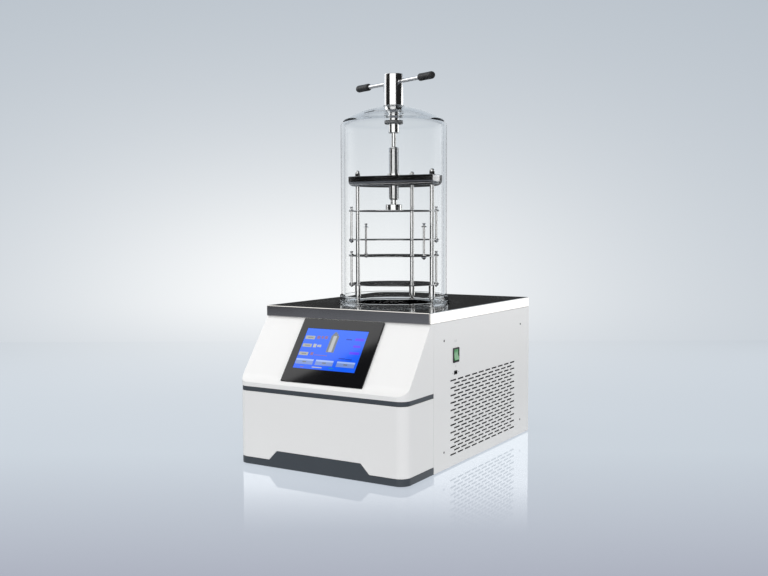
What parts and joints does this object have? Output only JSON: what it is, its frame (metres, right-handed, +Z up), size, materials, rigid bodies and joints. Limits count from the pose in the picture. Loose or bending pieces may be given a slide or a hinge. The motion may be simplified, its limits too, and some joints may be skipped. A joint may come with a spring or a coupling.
{
  "type": "freeze dryer",
  "caption": "Benchtop stoppering freeze dryer: white cabinet with a sloped touch screen, clear bell, hanging shelves and a T-handle press screw.",
  "frame": {"origin": "on the floor under the feet, at the centre of the overall footprint", "axes": "+Z up through the chamber, front with the touch screen towards -Y, power switch side towards +X"},
  "size_m": [0.4546, 0.6952, 0.929],
  "materials": {
    "white_paint": "satin powder coat",
    "slate_paint": "satin slate grey",
    "polished_steel": "polished stainless steel",
    "brushed_steel": "brushed stainless steel",
    "zinc_steel": "zinc-plated sheet steel",
    "black_gloss_plastic": "gloss",
    "black_plastic": "fine matte",
    "display_glass": "lit display behind glass",
    "green_plastic": "gloss, lit from inside",
    "clear_acrylic": "clear cast acrylic",
    "clear_silicone": "translucent, smooth",
    "grey_plastic": "satin",
    "white_plastic": "smooth fluoropolymer",
    "dark_foam": "closed-cell foam",
    "copper": "bright copper tube",
    "black_rubber": "matte",
    "black_enamel": "semi-gloss"
  },
  "bodies": {
    "machine": {"base_pan": "zinc_steel", "foot_front_left": "black_rubber", "foot_front_right": "black_rubber", "foot_rear_left": "black_rubber", "foot_rear_right": "black_rubber", "right_side_panel": "white_paint", "left_side_panel": "white_paint", "rear_panel": "white_paint", "top_plate": "polished_steel", "front_upper_shell": "white_paint", "trim_stripe": "slate_paint", "front_lower_shell": "white_paint", "base_trim": "slate_paint", "screen_bezel": "black_gloss_plastic", "display_panel": "display_glass", "switch_bezel": "black_plastic", "data_port": "black_plastic", "power_inlet": "black_plastic", "vacuum_port": "brushed_steel", "air_valve_body": "brushed_steel", "cold_trap_well": "brushed_steel", "evaporator_coil": "copper", "trap_insulation": "dark_foam", "compressor": "black_enamel", "condenser_block": "zinc_steel", "fan_shroud": "black_plastic", "fan_motor": "zinc_steel", "control_box": "zinc_steel", "acrylic_bell": "clear_acrylic", "seal_ring": "clear_silicone", "gland_bush": "white_plastic", "head_plate": "polished_steel", "screw_nut": "polished_steel", "shelf_4": "brushed_steel", "column_left": "polished_steel", "column_back": "polished_steel", "column_right": "polished_steel", "column_nut_left": "polished_steel", "column_nut_back": "polished_steel", "column_nut_right": "polished_steel", "lower_rod_right": "polished_steel", "lower_rod_left": "polished_steel"},
    "t_handle": {"handle_hub": "polished_steel", "handle_bar": "polished_steel", "grip_left": "black_rubber", "grip_right": "black_rubber", "retaining_collar": "grey_plastic"},
    "screw": {"press_screw": "polished_steel"},
    "top_shelf": {"shelf_1": "brushed_steel", "press_foot": "polished_steel"},
    "second_shelf": {"shelf_2": "brushed_steel", "upper_rod_right": "polished_steel", "upper_rod_left": "polished_steel"},
    "third_shelf": {"shelf_3": "brushed_steel", "middle_rod_right": "polished_steel", "middle_rod_left": "polished_steel"},
    "rocker": {"power_rocker": "green_plastic"},
    "fan": {"fan_rotor": "black_plastic"},
    "air_valve": {"air_valve_knob": "black_plastic"}
  },
  "joints": [
    {"name": "handle_turn", "type": "hinge", "parent": "machine", "child": "t_handle", "pos_m": [-0.0024, -0.00935, 0.9095], "axis": [0, 0, -1], "range_deg": [0, 1440]},
    {"name": "screw_turn", "type": "hinge", "parent": "top_shelf", "child": "screw", "pos_m": [-0.0024, -0.00935, 0.7], "axis": [0, 0, -1], "range_deg": [0, 1440]},
    {"name": "top_shelf_slide", "type": "slide", "parent": "machine", "child": "top_shelf", "axis": [0, 0, -1], "range_m": [0, 0.028]},
    {"name": "second_shelf_slide", "type": "slide", "parent": "machine", "child": "second_shelf", "axis": [0, 0, -1], "range_m": [0, 0.01867]},
    {"name": "third_shelf_slide", "type": "slide", "parent": "machine", "child": "third_shelf", "axis": [0, 0, -1], "range_m": [0, 0.00934]},
    {"name": "rocker_press", "type": "hinge", "parent": "machine", "child": "rocker", "pos_m": [0.2186, -0.11235, 0.2584], "axis": [0, 1, 0], "range_deg": [0, 14]},
    {"name": "fan_spin", "type": "hinge", "parent": "machine", "child": "fan", "pos_m": [0.1526, 0.04535, 0.0918], "axis": [1, 0, 0], "continuous": true},
    {"name": "air_valve_turn", "type": "hinge", "parent": "machine", "child": "air_valve", "pos_m": [0.1276, 0.33565, 0.29], "axis": [0, -1, 0], "range_deg": [0, 90]}
  ],
  "couplings": [
    {"joint": "screw_turn", "follows": "handle_turn", "ratio": 1},
    {"joint": "top_shelf_slide", "follows": "handle_turn", "m_per_rad": 0.0011141},
    {"joint": "second_shelf_slide", "follows": "handle_turn", "m_per_rad": 0.00074286},
    {"joint": "third_shelf_slide", "follows": "handle_turn", "m_per_rad": 0.00037163}
  ]
}
